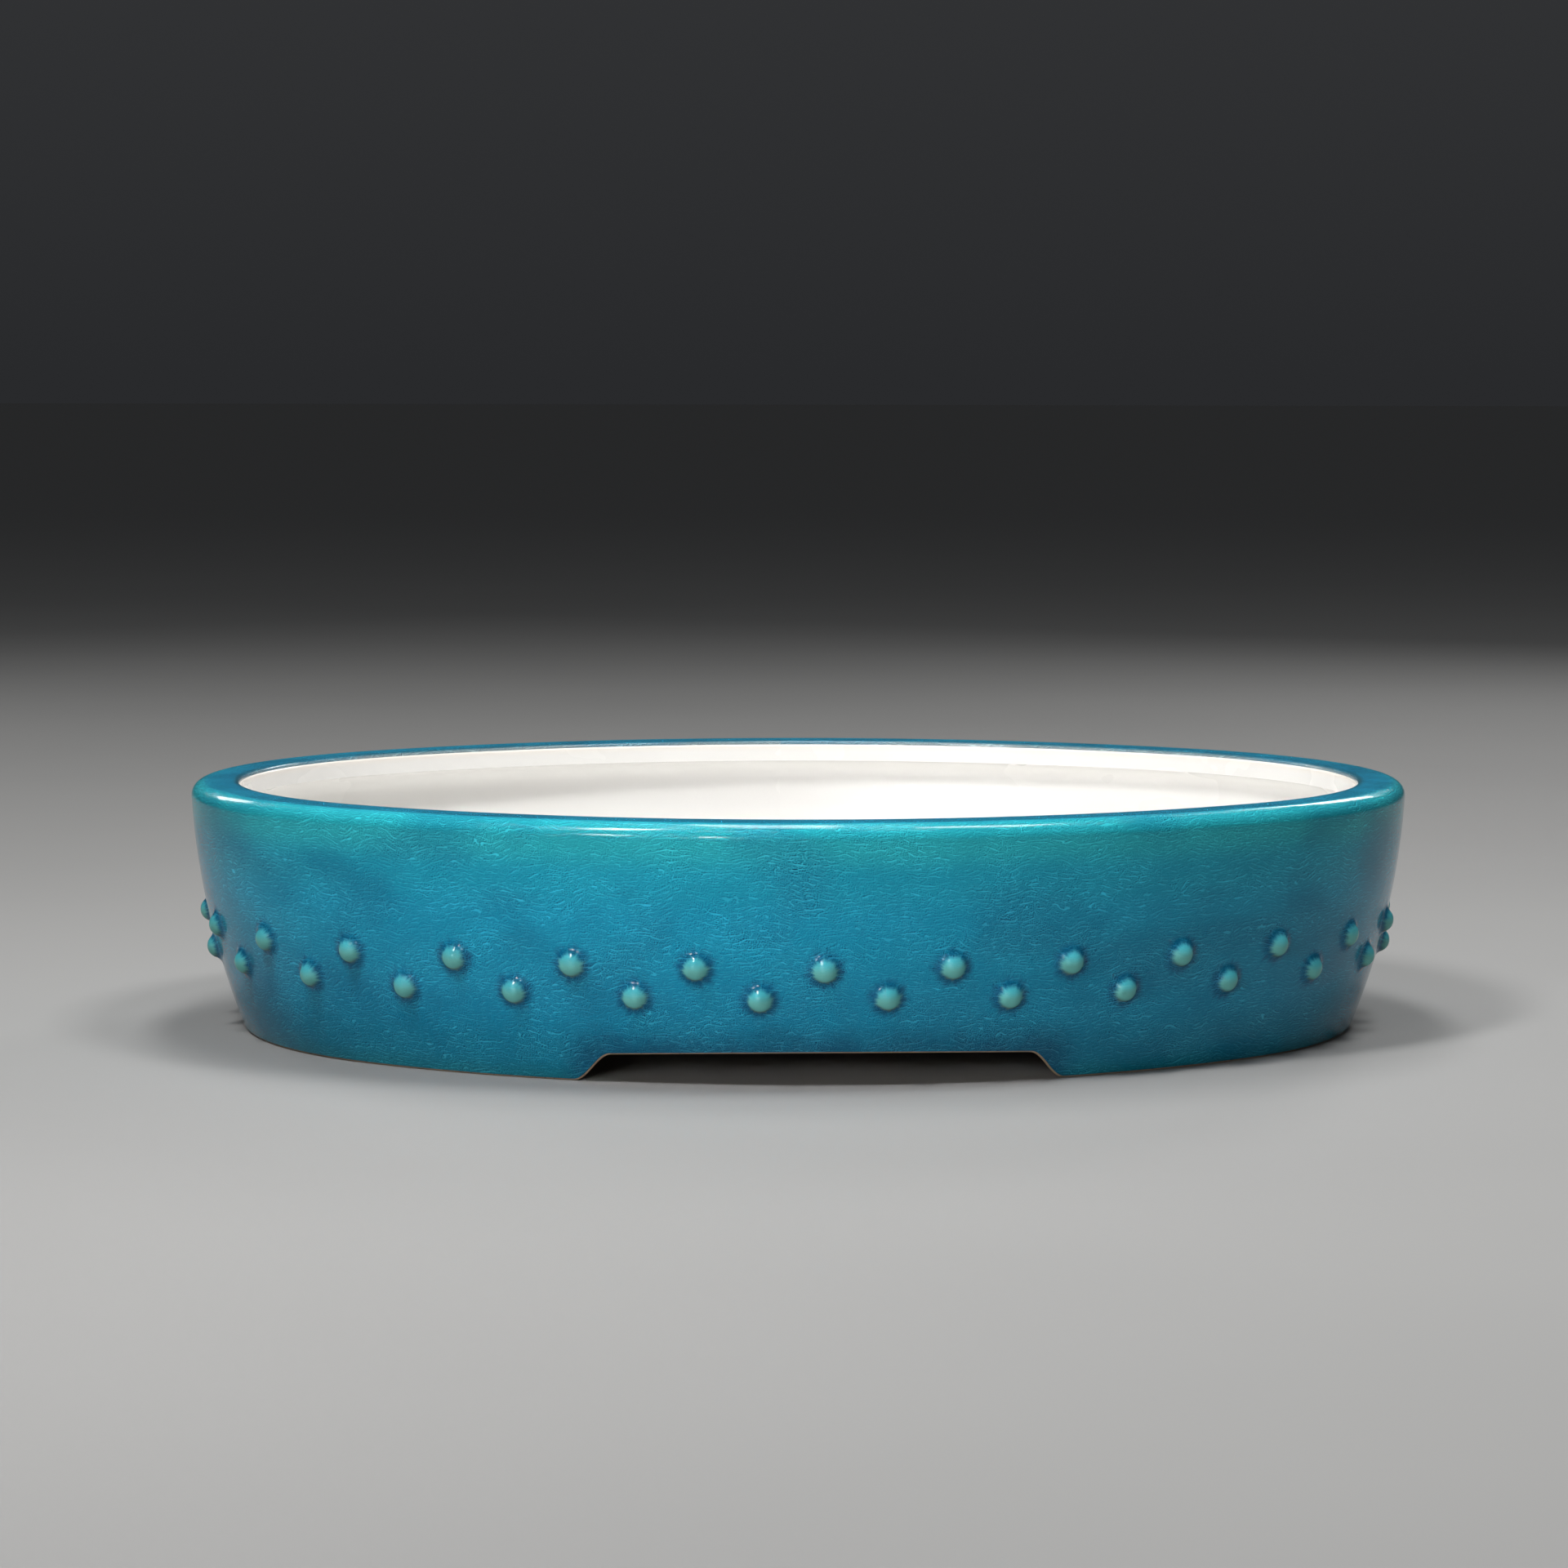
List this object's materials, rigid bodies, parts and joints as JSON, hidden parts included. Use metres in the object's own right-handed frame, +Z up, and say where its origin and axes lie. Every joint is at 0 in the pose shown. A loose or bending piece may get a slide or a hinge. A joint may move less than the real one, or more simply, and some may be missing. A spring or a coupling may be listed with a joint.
{
  "type": "bonsai pot",
  "caption": "Shallow oval glazed bonsai pot with a broad rounded lip, two zig-zag rows of dome bosses, a notched foot ring and two drain holes.",
  "frame": {"origin": "on the table, under the middle of the pot", "axes": "+X along the pot's length, -Y the front, +Z up"},
  "size_m": [0.4298, 0.3218, 0.087],
  "materials": {
    "turquoise_glaze": "gloss, fine crackle",
    "lip_glaze": "gloss, fine crackle",
    "boss_glaze": "gloss",
    "white_glaze": "gloss",
    "bare_clay": "matt",
    "floor_clay": "matt"
  },
  "bodies": {
    "root": {"wall": "turquoise_glaze", "lip": "lip_glaze", "floor_slab": "floor_clay", "corner_coil": "floor_clay", "foot_ring": "turquoise_glaze", "foot_edge": "bare_clay", "inside_glaze": "white_glaze", "upper_bosses": "boss_glaze", "lower_bosses": "boss_glaze"}
  },
  "joints": []
}
